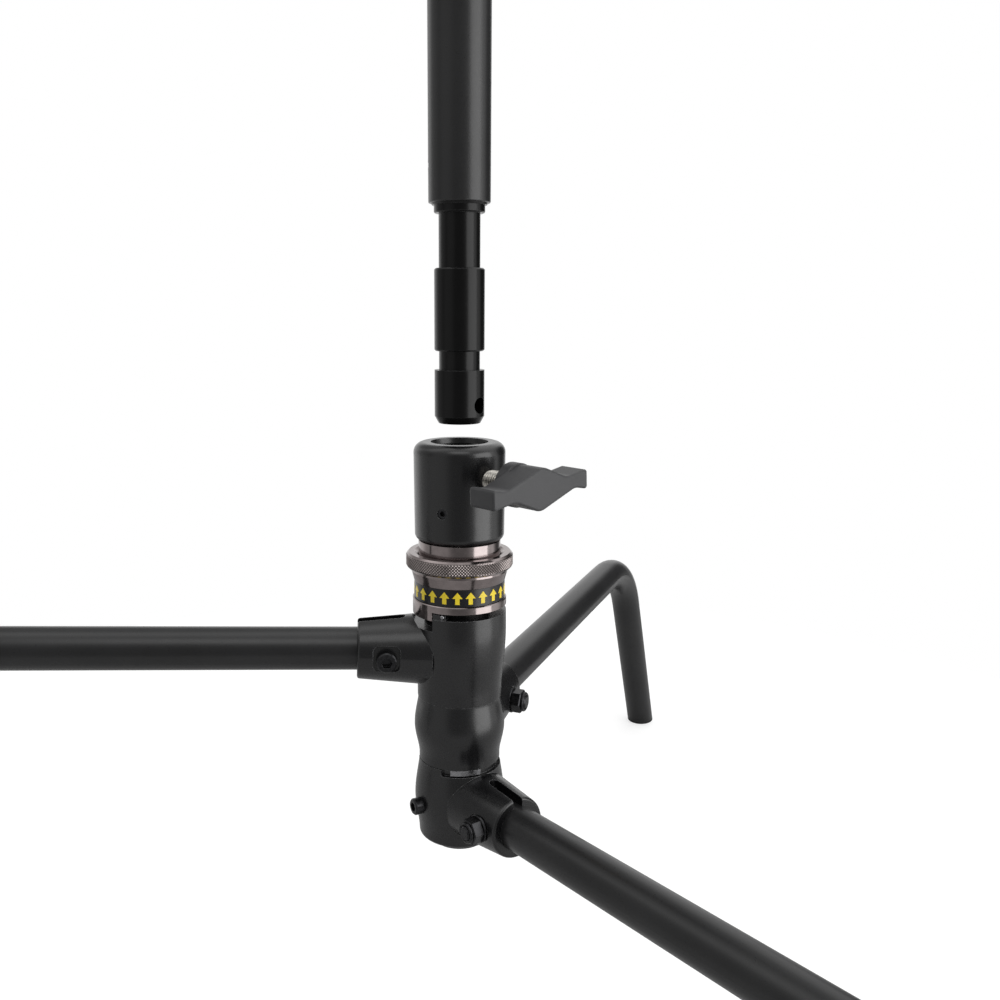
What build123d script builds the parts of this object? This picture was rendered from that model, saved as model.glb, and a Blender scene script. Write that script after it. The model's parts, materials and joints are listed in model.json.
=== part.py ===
from build123d import *
import math
import os

# Turtle-base C-stand, millimetres, +Z up.
# The origin is where the hub axis meets the floor. The upper leg points along -X.

os.makedirs("parts", exist_ok=True)

# ---- fits -------------------------------------------------------------------
RUN = 0.08              # radial running clearance of a shaft in its hole
CLEAR = 0.3             # gap between pieces that only pass each other
SEAT = 0.04             # gap between pieces that are pressed or screwed together

# ---- heights above the floor ------------------------------------------------
LEG_AXIS_Z = {"upper": 226.0, "middle": 181.4, "lower": 132.6}
LOWER_HUB_BOTTOM = 108.5
LOWER_JOINT_Z = 158.2       # between the lower and the middle hub
UPPER_JOINT_Z = 197.8       # between the middle and the upper hub
UPPER_HUB_TOP = 251.0
LOCK_RING_BOTTOM = 254.4
COLLAR_BAND_BOTTOM = 259.2
COLLAR_BAND_TOP = 269.5
KNURL_BOTTOM = 277.0
KNURL_TOP = 286.4
RECEIVER_BOTTOM = 293.5
RECEIVER_TOP = 350.7
COLUMN_TUBE_BOTTOM = 482.7  # column drawn up, its spigot just clear of the receiver

# ---- legs -------------------------------------------------------------------
LEG_ANGLE = {"upper": 180.0, "middle": 60.0, "lower": -60.0}
LEG_CORNER = {"upper": 375.6, "middle": 363.6, "lower": 351.6}   # hub axis to bend corner
LEG_RISE = 1.92             # degrees above level, hub to bend
LEG_FALL = 27.07            # degrees out from straight down, bend to foot
LEG_RADIUS = 12.7
LEG_WALL = 2.0
LEG_BEND_RADIUS = 80.0
SOCKET_INNER = 29.5         # start of the tube inside its socket, from the hub axis
SOCKET_END = {"upper": 61.0, "middle": 57.0, "lower": 57.5}
SOCKET_ROOT_RADIUS = 21.6
SOCKET_END_RADIUS = 17.7
BOLT_REACH = {"upper": 44.0, "middle": 40.5, "lower": 44.0}     # cross bolt, from the hub axis
BOLT_DROP = {"upper": 2.2, "middle": 1.6, "lower": 0.0}         # cross bolt, below the tube's middle
FOOT_PAD = 3.0              # thickness of the foot under the tube
BOLT_RADIUS = 4.0
HEAD_SEAT = 16.4            # bolt head's seat, from the leg's axis
WASHER_SEAT = 17.8
WASHER_THICK = 1.6

# ---- central post and hubs --------------------------------------------------
POST_RADIUS = 18.0
POST_OVERHANG = 1.5         # post below the lower hub
POST_BORE = 14.45           # takes the 28.4 mm spigot
POST_TOP = 318.0
HUB_CLEAR_RADIUS = 25.6     # a neighbouring hub turns inside this radius
JOINT_GAP = 0.3
WASHER_DEPTH = 1.5          # recess for a thrust washer
KEY_START, KEY_END = -108.6, -64.6  # stop key between the middle and lower hubs, degrees
MIDDLE_SWING = 240.0        # the recess in the lower hub lets the key turn this far
SET_SCREW_ANGLE, SET_SCREW_HEIGHT, SET_SCREW_RADIUS = -156.6, 131.0, 5.0

# ---- release collar ---------------------------------------------------------
SLEEVE_RADIUS = 24.1
BAND_SEAT, BAND_RADIUS = 26.2, 26.7
KNURL_RADIUS = 30.9
COLLAR_FLOOR = 263.0        # the spring stands on the collar's floor, under the sleeve
SLEEVE_BOTTOM = 281.0
LOCK_RING_RADIUS = 27.7
TAB_START, TAB_END = 174.0, 229.5   # locking tab, degrees
TAB_BOTTOM = 249.9
NOTCH_FLOOR = 243.5         # floor of the notch in the upper hub
UPPER_SWING = 120.0         # the notch lets the upper leg turn this far past the tab

# ---- T-handles --------------------------------------------------------------
HANDLE_ANGLE = -53.8
HANDLE_TILT = 2.9
SCREW_RADIUS = 6.0
HANDLE_BACK = 21.0          # clamp's outer wall to the back of the handle
HANDLE_THICK = 18.8
PAD_THICK = 2.2
RECEIVER_RADIUS = 26.6
RECEIVER_SCREW_Z = 331.3
GRUB_ANGLES = (-117.6, 62.4)    # grub screws that hold the receiver on the post
GRUB_HEIGHT = 312.8

# ---- column -----------------------------------------------------------------
COLUMN_RADIUS, COLUMN_WALL, COLUMN_LENGTH = 17.25, 1.5, 900.0
MIDDLE_RADIUS, MIDDLE_WALL, MIDDLE_LENGTH = 15.0, 1.3, 860.0
UPPER_RADIUS, UPPER_WALL, UPPER_LENGTH = 12.5, 1.2, 830.0
CLAMP_BELOW, CLAMP_ABOVE, CLAMP_WALL = 34.0, 32.0, 5.5
CLAMP_SCREW_LIFT = 13.0         # clamp screw above the top of the lower tube
BUSH_HEIGHT = 8.0
SPIGOT_RADIUS, SPIGOT_NECK = 14.2, 11.6
SPIGOT_NOSE = (361.6, 391.7)    # lowest and highest level of the spigot's nose, its land and its shoulder
SPIGOT_LAND = (402.3, 447.9)
SPIGOT_SHOULDER = 477.4
SPIGOT_PLUG = 38.0              # length of the spigot inside the column tube
SPIGOT_HOLE_Z = 372.0
PIN_LIFT, PIN_RADIUS = 20.0, 2.5    # cross pin above the tube's lower end
STUD_RADIUS, STUD_NECK = 7.95, 6.3
STUD_PLUG, STUD_PIN_DROP, STUD_PIN_RADIUS = 30.0, 15.0, 2.0

COLUMN_TUBE_TOP = COLUMN_TUBE_BOTTOM + COLUMN_LENGTH
MIDDLE_TUBE_TOP = COLUMN_TUBE_TOP + CLAMP_ABOVE + CLAMP_BELOW + 3.0
UPPER_TUBE_TOP = MIDDLE_TUBE_TOP + CLAMP_ABOVE + 10.0


# ---- helpers ----------------------------------------------------------------
def save(part, name, label):
    part.label = label
    export_step(part, f"parts/{name}.step")


def direction(angle, rise=0.0):
    """Unit vector at an angle about +Z, climbing by rise degrees."""
    level = math.cos(math.radians(rise))
    return Vector(
        level * math.cos(math.radians(angle)),
        level * math.sin(math.radians(angle)),
        math.sin(math.radians(rise)),
    )


def leg_point(leg, reach):
    """Point on a leg's axis at a distance from the hub axis."""
    return Vector(0, 0, LEG_AXIS_Z[leg]) + direction(LEG_ANGLE[leg], LEG_RISE) * reach


def leg_section_plane(leg, reach):
    """Plane square to a leg's axis, local X sideways and local Y up."""
    sideways = direction(LEG_ANGLE[leg] + 90.0)
    return Plane(origin=leg_point(leg, reach), x_dir=sideways, z_dir=direction(LEG_ANGLE[leg], LEG_RISE))


def bolt_plane(leg, side, drop=None):
    """Plane through a leg's cross bolt that faces sideways: side +1 is left looking outward, -1 is right."""
    outward, up = direction(LEG_ANGLE[leg], LEG_RISE), direction(LEG_ANGLE[leg], LEG_RISE + 90.0)
    origin = leg_point(leg, BOLT_REACH[leg]) - up * (BOLT_DROP[leg] if drop is None else drop)
    return Plane(origin=origin, x_dir=outward, z_dir=direction(LEG_ANGLE[leg] + 90.0 * side))


def radial_plane(angle, radius, height, tilt=0.0):
    """Plane facing outward from the hub axis, local X sideways and local Y up, turned by tilt degrees."""
    outward = direction(angle)
    origin = outward * radius + Vector(0, 0, height)
    return Plane(origin=origin, x_dir=direction(angle + 90.0, tilt), z_dir=outward)


def profile_plane(angle=0.0):
    """Upright plane through the hub axis, local X outward and local Y up."""
    return Plane(origin=(0, 0, 0), x_dir=direction(angle), z_dir=direction(angle - 90.0))


def foot_reach(leg):
    """Level distance from the hub axis to the middle of a foot."""
    corner = leg_point(leg, LEG_CORNER[leg])
    return math.hypot(corner.X, corner.Y) + corner.Z * math.tan(math.radians(LEG_FALL))


# ---- legs -------------------------------------------------------------------
def make_leg_tube(leg):
    """Round tube that climbs a little from the hub, bends and falls to the floor."""
    plane = profile_plane(LEG_ANGLE[leg])
    start, corner = leg_point(leg, SOCKET_INNER), leg_point(leg, LEG_CORNER[leg])
    run_past = 12.0
    end_reach = foot_reach(leg) + run_past * math.tan(math.radians(LEG_FALL))
    with BuildPart() as leg_tube:
        with BuildLine(plane) as path:
            FilletPolyline(
                (math.hypot(start.X, start.Y), start.Z),
                (math.hypot(corner.X, corner.Y), corner.Z),
                (end_reach, -run_past),
                radius=LEG_BEND_RADIUS,
            )
        with BuildSketch(Plane(origin=path.line @ 0, z_dir=path.line % 0)):
            Circle(LEG_RADIUS)
            Circle(LEG_RADIUS - LEG_WALL, mode=Mode.SUBTRACT)
        sweep()
        split(bisect_by=Plane.XY.offset(FOOT_PAD), keep=Keep.TOP)
        with BuildSketch(bolt_plane(leg, 1)):
            Circle(BOLT_RADIUS + SEAT)
        extrude(amount=2 * LEG_RADIUS, both=True, mode=Mode.SUBTRACT)
    save(leg_tube.part, f"{leg}_leg_tube", f"{leg} leg tube")


def make_leg_foot(leg):
    """Rubber plug in the leg's end, cut level where it meets the floor."""
    fall = Vector(0, 0, -1) * math.cos(math.radians(LEG_FALL))
    fall += direction(LEG_ANGLE[leg]) * math.sin(math.radians(LEG_FALL))
    floor_point = direction(LEG_ANGLE[leg]) * foot_reach(leg)
    plane = Plane(origin=floor_point, z_dir=-fall)
    with BuildPart() as foot:
        with BuildSketch(plane):
            Circle(LEG_RADIUS)
        extrude(amount=LEG_RADIUS, both=True)
        split(bisect_by=Plane.XY, keep=Keep.TOP)
        split(bisect_by=Plane.XY.offset(FOOT_PAD - SEAT), keep=Keep.BOTTOM)
        fillet(foot.edges().sort_by(Axis.Z)[0], 1.2)
        with BuildSketch(plane):
            Circle(LEG_RADIUS - LEG_WALL - SEAT)
        extrude(amount=22.0)
        split(bisect_by=Plane.XY, keep=Keep.TOP)
    save(foot.part, f"{leg}_leg_foot", f"{leg} leg rubber foot")


def make_leg_bolt(leg):
    """Socket-head bolt across the socket and the tube."""
    shank_end, head_radius, head_height = 28.4, 6.0, 4.4
    side = Axis((0, 0, 0), direction(LEG_ANGLE[leg] + 90.0))
    with BuildPart() as bolt:
        with BuildSketch(bolt_plane(leg, -1).offset(-HEAD_SEAT)):
            Circle(BOLT_RADIUS)
        extrude(amount=HEAD_SEAT + shank_end)
        chamfer(bolt.faces().sort_by(side)[0].edges(), 0.8)
        with BuildSketch(bolt_plane(leg, 1).offset(HEAD_SEAT)):
            Circle(head_radius)
        extrude(amount=head_height)
        chamfer(bolt.faces().sort_by(side)[-1].edges(), 0.7)
        with BuildSketch(bolt_plane(leg, 1).offset(HEAD_SEAT + head_height)):
            RegularPolygon(radius=3.4, side_count=6)
        extrude(amount=1.0 - head_height, mode=Mode.SUBTRACT)
    save(bolt.part, f"{leg}_leg_bolt", f"{leg} leg cross bolt")


def make_leg_nut(leg):
    """Hex nut on the bolt's end."""
    with BuildPart() as nut:
        with BuildSketch(bolt_plane(leg, -1).offset(WASHER_SEAT + WASHER_THICK + SEAT)):
            RegularPolygon(radius=7.5, side_count=6)
            Circle(BOLT_RADIUS + SEAT, mode=Mode.SUBTRACT)
        extrude(amount=6.4)
        outer = nut.faces().sort_by(Axis((0, 0, 0), direction(LEG_ANGLE[leg] - 90.0)))[-1]
        chamfer(outer.outer_wire().edges(), 0.6)
    save(nut.part, f"{leg}_leg_nut", f"{leg} leg hex nut")


def make_leg_washer(leg):
    """Plain washer under the nut."""
    with BuildPart() as washer:
        with BuildSketch(bolt_plane(leg, -1).offset(WASHER_SEAT + SEAT)):
            Circle(8.0)
            Circle(BOLT_RADIUS + SEAT, mode=Mode.SUBTRACT)
        extrude(amount=WASHER_THICK - SEAT)
        chamfer(washer.edges().filter_by(GeomType.CIRCLE).sort_by(SortBy.RADIUS)[-2:], 0.3)
    save(washer.part, f"{leg}_leg_washer", f"{leg} leg washer")


# ---- hubs -------------------------------------------------------------------
def hub_outline(leg):
    """Outer outline of a hub in its profile plane, from the bottom up."""
    if leg == "upper":
        bottom, top = UPPER_JOINT_Z + JOINT_GAP / 2, UPPER_HUB_TOP
        Spline((25.2, bottom), (25.3, bottom + 8), (26.7, bottom + 23), (27.7, top - 13), (27.6, top),
               tangents=((0, 1), (0, 1)))
        Polyline((27.6, top), (POST_RADIUS, top), (POST_RADIUS, bottom), (25.2, bottom))
    elif leg == "middle":
        bottom, top = LOWER_JOINT_Z + JOINT_GAP / 2, UPPER_JOINT_Z - JOINT_GAP / 2
        Spline((24.4, bottom), (24.4, bottom + 3), (27.2, bottom + 20), (24.9, top - 1.5), (24.8, top),
               tangents=((0, 1), (0, 1)))
        Polyline((24.8, top), (POST_RADIUS, top), (POST_RADIUS, bottom), (24.4, bottom))
    else:
        bottom, top = LOWER_HUB_BOTTOM, LOWER_JOINT_Z - JOINT_GAP / 2
        Spline((24.6, bottom), (24.9, bottom + 6), (27.2, bottom + 25), (24.9, top - 4), (24.6, top),
               tangents=((0, 1), (0, 1)))
        Polyline((24.6, top), (POST_RADIUS, top), (POST_RADIUS, bottom), (24.6, bottom))


def hub_span(leg):
    """Lowest and highest level of a hub's body."""
    spans = {
        "upper": (UPPER_JOINT_Z + JOINT_GAP / 2, UPPER_HUB_TOP),
        "middle": (LOWER_JOINT_Z + JOINT_GAP / 2, UPPER_JOINT_Z - JOINT_GAP / 2),
        "lower": (LOWER_HUB_BOTTOM, LOWER_JOINT_Z - JOINT_GAP / 2),
    }
    return spans[leg]


def hub_casting(leg):
    """Hub body with its tapered arm, tube socket, bolt seats, top slot and post bore."""
    bottom, top = hub_span(leg)
    outward, up = direction(LEG_ANGLE[leg], LEG_RISE), direction(LEG_ANGLE[leg], LEG_RISE + 90.0)
    slot_start, slot_end, slot_width = 33.0, SOCKET_END[leg] + 10.0, 6.6
    slot_origin = leg_point(leg, (slot_start + slot_end) / 2)
    slot_plane = Plane(origin=slot_origin, x_dir=outward, z_dir=up).offset(LEG_RADIUS - 3)
    with BuildPart() as casting:
        with BuildSketch(leg_section_plane(leg, HUB_CLEAR_RADIUS - 8)):
            Circle(SOCKET_ROOT_RADIUS)
        with BuildSketch(leg_section_plane(leg, SOCKET_END[leg])):
            Circle(SOCKET_END_RADIUS)
        loft()
        fillet(casting.faces().sort_by(Axis((0, 0, 0), outward))[-1].edges(), 1.6)
        for limit, away in ((top, 1), (bottom, -1)):
            with BuildSketch(Plane.XY.offset(limit)):
                Circle(HUB_CLEAR_RADIUS)
            extrude(amount=away * 2 * SOCKET_ROOT_RADIUS, mode=Mode.SUBTRACT)
        with BuildSketch(profile_plane()):
            with BuildLine():
                hub_outline(leg)
            make_face()
        revolve(axis=Axis.Z)
        if leg == "lower":
            rims = casting.edges().filter_by(GeomType.CIRCLE).group_by(Axis.Z)[0]
            fillet(rims.sort_by(SortBy.RADIUS)[-1], 2.4)
        with BuildSketch(leg_section_plane(leg, SOCKET_INNER - SEAT)):
            Circle(LEG_RADIUS + SEAT)
        extrude(amount=SOCKET_END[leg], mode=Mode.SUBTRACT)
        with BuildSketch(bolt_plane(leg, 1)):
            Circle(BOLT_RADIUS + SEAT)
        extrude(amount=2 * SOCKET_ROOT_RADIUS, both=True, mode=Mode.SUBTRACT)
        with BuildSketch(bolt_plane(leg, 1, 0.7).offset(HEAD_SEAT - SEAT)):
            RectangleRounded(15.8, 15.6, 3.6)
        extrude(amount=SOCKET_END_RADIUS, mode=Mode.SUBTRACT)
        with BuildSketch(bolt_plane(leg, -1).offset(WASHER_SEAT)):
            Circle(8.6)
        extrude(amount=SOCKET_END_RADIUS, mode=Mode.SUBTRACT)
        with BuildSketch(slot_plane):
            SlotOverall(slot_end - slot_start, slot_width)
        extrude(amount=SOCKET_END_RADIUS, mode=Mode.SUBTRACT)
        with BuildSketch(Plane.XY.offset(bottom - 1)):
            Circle(POST_RADIUS + (SEAT if leg == "lower" else RUN))
        extrude(amount=top - bottom + 2, mode=Mode.SUBTRACT)
        if leg != "upper":
            with BuildSketch(Plane.XY.offset(top - WASHER_DEPTH)):
                Circle(22.2)
            extrude(amount=2 * WASHER_DEPTH, mode=Mode.SUBTRACT)
    return casting.part


def sector(inner, outer, start, end):
    """Flat piece of a ring between two angles."""
    with BuildSketch() as piece:
        with BuildLine():
            CenterArc((0, 0), outer, start, end - start)
            CenterArc((0, 0), inner, start, end - start)
            for angle in (start, end):
                ray = direction(angle)
                Line((ray.X * inner, ray.Y * inner), (ray.X * outer, ray.Y * outer))
        make_face()
    return piece.sketch


def make_upper_hub():
    """Hub of the leg that swings first, with the notch for the locking tab and its raised tooth."""
    notch_start, notch_end = TAB_START - UPPER_SWING - 2.5, TAB_END + 0.6
    tooth_top = LOCK_RING_BOTTOM - 0.4
    tooth = sector(21.0, 27.2, notch_end, notch_end + 17.0)
    notch = sector(21.0, LOCK_RING_RADIUS + 0.5, notch_start, notch_end)
    ball_angle, ball_radius = notch_end + 12.5, 1.5
    ball_height = tooth_top - 1.2
    with BuildPart() as hub:
        add(hub_casting("upper"))
        with BuildSketch(Plane.XY.offset(UPPER_HUB_TOP - 0.1)):
            add(tooth)
        extrude(amount=tooth_top - UPPER_HUB_TOP + 0.1)
        with BuildSketch(Plane.XY.offset(NOTCH_FLOOR)):
            add(notch)
        extrude(amount=20.0, mode=Mode.SUBTRACT)
        with BuildSketch(radial_plane(ball_angle, 24.8, ball_height)):
            Circle(ball_radius + SEAT)
        extrude(amount=4.0, mode=Mode.SUBTRACT)
    save(hub.part, "upper_leg_hub", "upper leg hub")
    with BuildPart() as ball:
        with Locations(direction(ball_angle) * 26.4 + Vector(0, 0, ball_height)):
            Sphere(ball_radius)
    save(ball.part, "detent_ball", "detent ball")


def make_middle_hub():
    """Hub of the middle leg and the stop key that hangs from it into the lower hub's recess."""
    save(hub_casting("middle"), "middle_leg_hub", "middle leg hub")
    key_shape = sector(22.8, 24.3, KEY_START, KEY_END)
    with BuildPart() as key:
        with BuildSketch(Plane.XY.offset(LOWER_JOINT_Z - 3.2)):
            add(key_shape)
        extrude(amount=3.2 + JOINT_GAP / 2 - SEAT)
    save(key.part, "stop_key", "stop key")


def make_lower_hub():
    """Fixed hub at the foot of the post, with the long recess that limits the middle leg."""
    recess = sector(22.5, 30.0, KEY_START - 13.0, KEY_END + MIDDLE_SWING + 3.0)
    with BuildPart() as hub:
        add(hub_casting("lower"))
        with BuildSketch(Plane.XY.offset(LOWER_JOINT_Z - 4.0)):
            add(recess)
        extrude(amount=10.0, mode=Mode.SUBTRACT)
        with BuildSketch(radial_plane(SET_SCREW_ANGLE, POST_RADIUS, SET_SCREW_HEIGHT)):
            Circle(SET_SCREW_RADIUS + SEAT)
        extrude(amount=20.0, mode=Mode.SUBTRACT)
    save(hub.part, "lower_leg_hub", "lower leg hub")


def make_hub_set_screw():
    """Socket set screw that fixes the lower hub to the post."""
    length = 14.0
    inner = POST_RADIUS + SEAT
    with BuildPart() as screw:
        with BuildSketch(radial_plane(SET_SCREW_ANGLE, inner, SET_SCREW_HEIGHT)):
            Circle(SET_SCREW_RADIUS)
        extrude(amount=length)
        tip = screw.faces().sort_by(Axis((0, 0, 0), direction(SET_SCREW_ANGLE)))[-1]
        chamfer(tip.edges(), 0.8)
        with BuildSketch(radial_plane(SET_SCREW_ANGLE, inner + length, SET_SCREW_HEIGHT)):
            RegularPolygon(radius=2.9, side_count=6)
        extrude(amount=-5.0, mode=Mode.SUBTRACT)
    save(screw.part, "hub_set_screw", "hub set screw")


# ---- post, receiver and release collar --------------------------------------
def make_central_post():
    """Hollow post that every hub sits on and the spigot drops into."""
    with BuildPart() as post:
        with BuildSketch(Plane.XY.offset(LOWER_HUB_BOTTOM - POST_OVERHANG)):
            Circle(POST_RADIUS)
            Circle(POST_BORE, mode=Mode.SUBTRACT)
        extrude(amount=POST_TOP - LOWER_HUB_BOTTOM + POST_OVERHANG)
    save(post.part, "central_post", "central post")
    with BuildPart() as plug:
        with BuildSketch(Plane.XY.offset(LOWER_HUB_BOTTOM - POST_OVERHANG - 3.0)):
            Circle(POST_RADIUS - 0.5)
        extrude(amount=3.0 - SEAT)
        chamfer(plug.faces().sort_by(Axis.Z)[0].edges(), 1.0)
        with BuildSketch(Plane.XY.offset(LOWER_HUB_BOTTOM - POST_OVERHANG - 0.5)):
            Circle(POST_BORE - SEAT)
        extrude(amount=12.0)
    save(plug.part, "post_end_plug", "post end plug")


def make_thrust_washers():
    """Two bronze washers that carry the turning hubs."""
    with BuildPart() as washers:
        for joint_height in (LOWER_JOINT_Z, UPPER_JOINT_Z):
            with BuildSketch(Plane.XY.offset(joint_height - JOINT_GAP / 2 - WASHER_DEPTH + SEAT)):
                Circle(22.0)
                Circle(POST_RADIUS + SEAT, mode=Mode.SUBTRACT)
            extrude(amount=WASHER_DEPTH + JOINT_GAP / 2 - 2 * SEAT)
    save(washers.part, "thrust_washers", "thrust washers")


def make_receiver():
    """Cast receiver on top of the post, with a chamfered mouth for the spigot."""
    with BuildPart() as receiver:
        with BuildSketch(profile_plane()):
            with BuildLine():
                Polyline(
                    (POST_RADIUS + SEAT, RECEIVER_BOTTOM), (RECEIVER_RADIUS - 0.5, RECEIVER_BOTTOM),
                    (RECEIVER_RADIUS, RECEIVER_TOP), (POST_BORE + 2.2, RECEIVER_TOP),
                    (POST_BORE + 1.6, RECEIVER_TOP - 3.0), (POST_BORE, RECEIVER_TOP - 5.5),
                    (POST_BORE, POST_TOP + SEAT),
                    (POST_RADIUS + SEAT, POST_TOP + SEAT), close=True,
                )
            make_face()
        revolve(axis=Axis.Z)
        rims = receiver.edges().filter_by(GeomType.CIRCLE)
        fillet(rims.group_by(Axis.Z)[-1].sort_by(SortBy.RADIUS)[-1], 6.0)
        fillet(rims.group_by(Axis.Z)[0].sort_by(SortBy.RADIUS)[-1], 4.0)
        with BuildSketch(radial_plane(HANDLE_ANGLE, POST_BORE - 4, RECEIVER_SCREW_Z)):
            Circle(SCREW_RADIUS + RUN)
        extrude(amount=20.0, mode=Mode.SUBTRACT)
        for angle in GRUB_ANGLES:
            with BuildSketch(radial_plane(angle, POST_RADIUS, GRUB_HEIGHT)):
                Circle(3.0 + SEAT)
            extrude(amount=12.0, mode=Mode.SUBTRACT)
    save(receiver.part, "receiver", "receiver")


def make_grub_screws(name, label, angles, height, seat_radius, end_radius, radius=3.0):
    """Hex-socket grub screws sunk in a clamp's wall."""
    with BuildPart() as screws:
        for angle in angles:
            with BuildSketch(radial_plane(angle, seat_radius + SEAT, height)):
                Circle(radius)
            extrude(amount=end_radius - seat_radius - SEAT)
        for angle in angles:
            with BuildSketch(radial_plane(angle, end_radius, height)):
                RegularPolygon(radius=radius * 0.58, side_count=6)
            extrude(amount=-2.6, mode=Mode.SUBTRACT)
    save(screws.part, name, label)


def make_guide_sleeve():
    """Plated sleeve under the receiver that the release collar slides over."""
    with BuildPart() as sleeve:
        with BuildSketch(profile_plane()):
            with BuildLine():
                Polyline(
                    (POST_RADIUS + SEAT, SLEEVE_BOTTOM), (SLEEVE_RADIUS, SLEEVE_BOTTOM),
                    (SLEEVE_RADIUS, RECEIVER_BOTTOM - SEAT), (POST_RADIUS + SEAT, RECEIVER_BOTTOM - SEAT),
                    close=True,
                )
            make_face()
        revolve(axis=Axis.Z)
    save(sleeve.part, "guide_sleeve", "guide sleeve")


def make_release_collar():
    """Knurled collar that is pulled up to free the legs."""
    body_radius, cone_radius = 26.8, 28.4
    inside, bevel = SLEEVE_RADIUS + CLEAR, 1.1
    with BuildPart() as collar:
        with BuildSketch(profile_plane()):
            with BuildLine():
                Polyline(
                    (POST_RADIUS + CLEAR, COLLAR_BAND_BOTTOM), (BAND_SEAT, COLLAR_BAND_BOTTOM),
                    (BAND_SEAT, COLLAR_BAND_TOP), (body_radius, COLLAR_BAND_TOP),
                    (cone_radius, KNURL_BOTTOM - 1.6), (cone_radius, KNURL_BOTTOM),
                    (KNURL_RADIUS - bevel, KNURL_BOTTOM), (KNURL_RADIUS, KNURL_BOTTOM + bevel),
                    (KNURL_RADIUS, KNURL_TOP - bevel), (KNURL_RADIUS - bevel, KNURL_TOP),
                    (inside + 2.0, KNURL_TOP), (inside, KNURL_TOP - 1.6), (inside, COLLAR_FLOOR),
                    (POST_RADIUS + CLEAR, COLLAR_FLOOR), close=True,
                )
            make_face()
        revolve(axis=Axis.Z)
    save(collar.part, "release_collar", "release collar")


def make_release_band():
    """Thin marked band around the collar."""
    with BuildPart() as band:
        with BuildSketch(Plane.XY.offset(COLLAR_BAND_BOTTOM + 0.1)):
            Circle(BAND_RADIUS)
            Circle(BAND_SEAT + SEAT, mode=Mode.SUBTRACT)
        extrude(amount=COLLAR_BAND_TOP - COLLAR_BAND_BOTTOM - 0.2)
    save(band.part, "release_band", "release collar band")


def make_lock_ring():
    """Ring under the collar with the tab that drops into the upper hub's notch."""
    tab = sector(22.6, LOCK_RING_RADIUS, TAB_START, TAB_END)
    with BuildPart() as ring:
        with BuildSketch(Plane.XY.offset(LOCK_RING_BOTTOM)):
            Circle(LOCK_RING_RADIUS)
            Circle(POST_RADIUS + CLEAR, mode=Mode.SUBTRACT)
        extrude(amount=COLLAR_BAND_BOTTOM - LOCK_RING_BOTTOM - SEAT)
        chamfer(ring.edges().filter_by(GeomType.CIRCLE).sort_by(SortBy.RADIUS)[-2:], 0.5)
        with BuildSketch(Plane.XY.offset(TAB_BOTTOM)):
            add(tab)
        extrude(amount=LOCK_RING_BOTTOM - TAB_BOTTOM + 1.0)
    save(ring.part, "lock_ring", "lock ring")


def make_release_spring():
    """Coil spring that presses the collar down."""
    wire, coil_radius, turns = 1.1, 21.4, 4
    bottom, top = COLLAR_FLOOR + wire + 0.05, SLEEVE_BOTTOM - wire - 0.05
    with BuildPart() as spring:
        with BuildLine(Plane.XY.offset(bottom)) as coil:
            Helix(pitch=(top - bottom) / turns, height=top - bottom, radius=coil_radius)
        with BuildSketch(Plane(origin=coil.line @ 0, z_dir=coil.line % 0)):
            Circle(wire)
        sweep(is_frenet=True)
    save(spring.part, "release_spring", "release spring")


# ---- T-handles --------------------------------------------------------------
def make_t_handle(prefix, label, wall_radius, tip_radius, height, angle):
    """Wing-shaped handle, its threaded screw and the brass pad that presses on the tube."""
    back = wall_radius + HANDLE_BACK
    plane = radial_plane(angle, back, height, HANDLE_TILT)
    half, end, waist, crest = 36.0, 5.7, 3.4, 12.2
    upper_edge = [(-half, end), (-26.5, waist), (1.5, crest), (20.0, waist + 0.4), (half, end)]
    lower_edge = [(-x, -y) for x, y in upper_edge]
    corner_radii = [1.6, 10.0, 9.0, 12.0, 1.6]
    with BuildPart() as handle:
        with BuildSketch(plane):
            with BuildLine():
                FilletPolyline(*upper_edge, *lower_edge, radius=corner_radii * 2, close=True)
            make_face()
        extrude(amount=HANDLE_THICK)
        outward = Axis((0, 0, height), direction(angle))
        ends = handle.faces().sort_by(outward)
        fillet(ends[-1].edges() + ends[0].edges(), 1.4)
        with BuildSketch(plane.offset(-7.4)):
            Circle(10.8)
        with BuildSketch(plane.offset(-5.6)):
            Circle(12.3)
        loft()
        with BuildSketch(plane.offset(-5.6)):
            Circle(12.3)
        extrude(amount=6.6)
        with BuildSketch(plane.offset(-7.4)):
            Circle(SCREW_RADIUS + SEAT)
        extrude(amount=16.6, mode=Mode.SUBTRACT)
    save(handle.part, f"{prefix}_handle", f"{label} T-handle")
    with BuildPart() as screw:
        with BuildSketch(radial_plane(angle, tip_radius + PAD_THICK + 0.1, height)):
            Circle(SCREW_RADIUS)
        extrude(amount=back + 8.9 - tip_radius - PAD_THICK)
        chamfer(screw.edges().filter_by(GeomType.CIRCLE), 0.8)
    save(screw.part, f"{prefix}_screw", f"{label} clamp screw")
    with BuildPart() as pad:
        with BuildSketch(radial_plane(angle, tip_radius, height)):
            Circle(SCREW_RADIUS - 0.25)
        extrude(amount=PAD_THICK)
    save(pad.part, f"{prefix}_pad", f"{label} brass pad")


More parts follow.
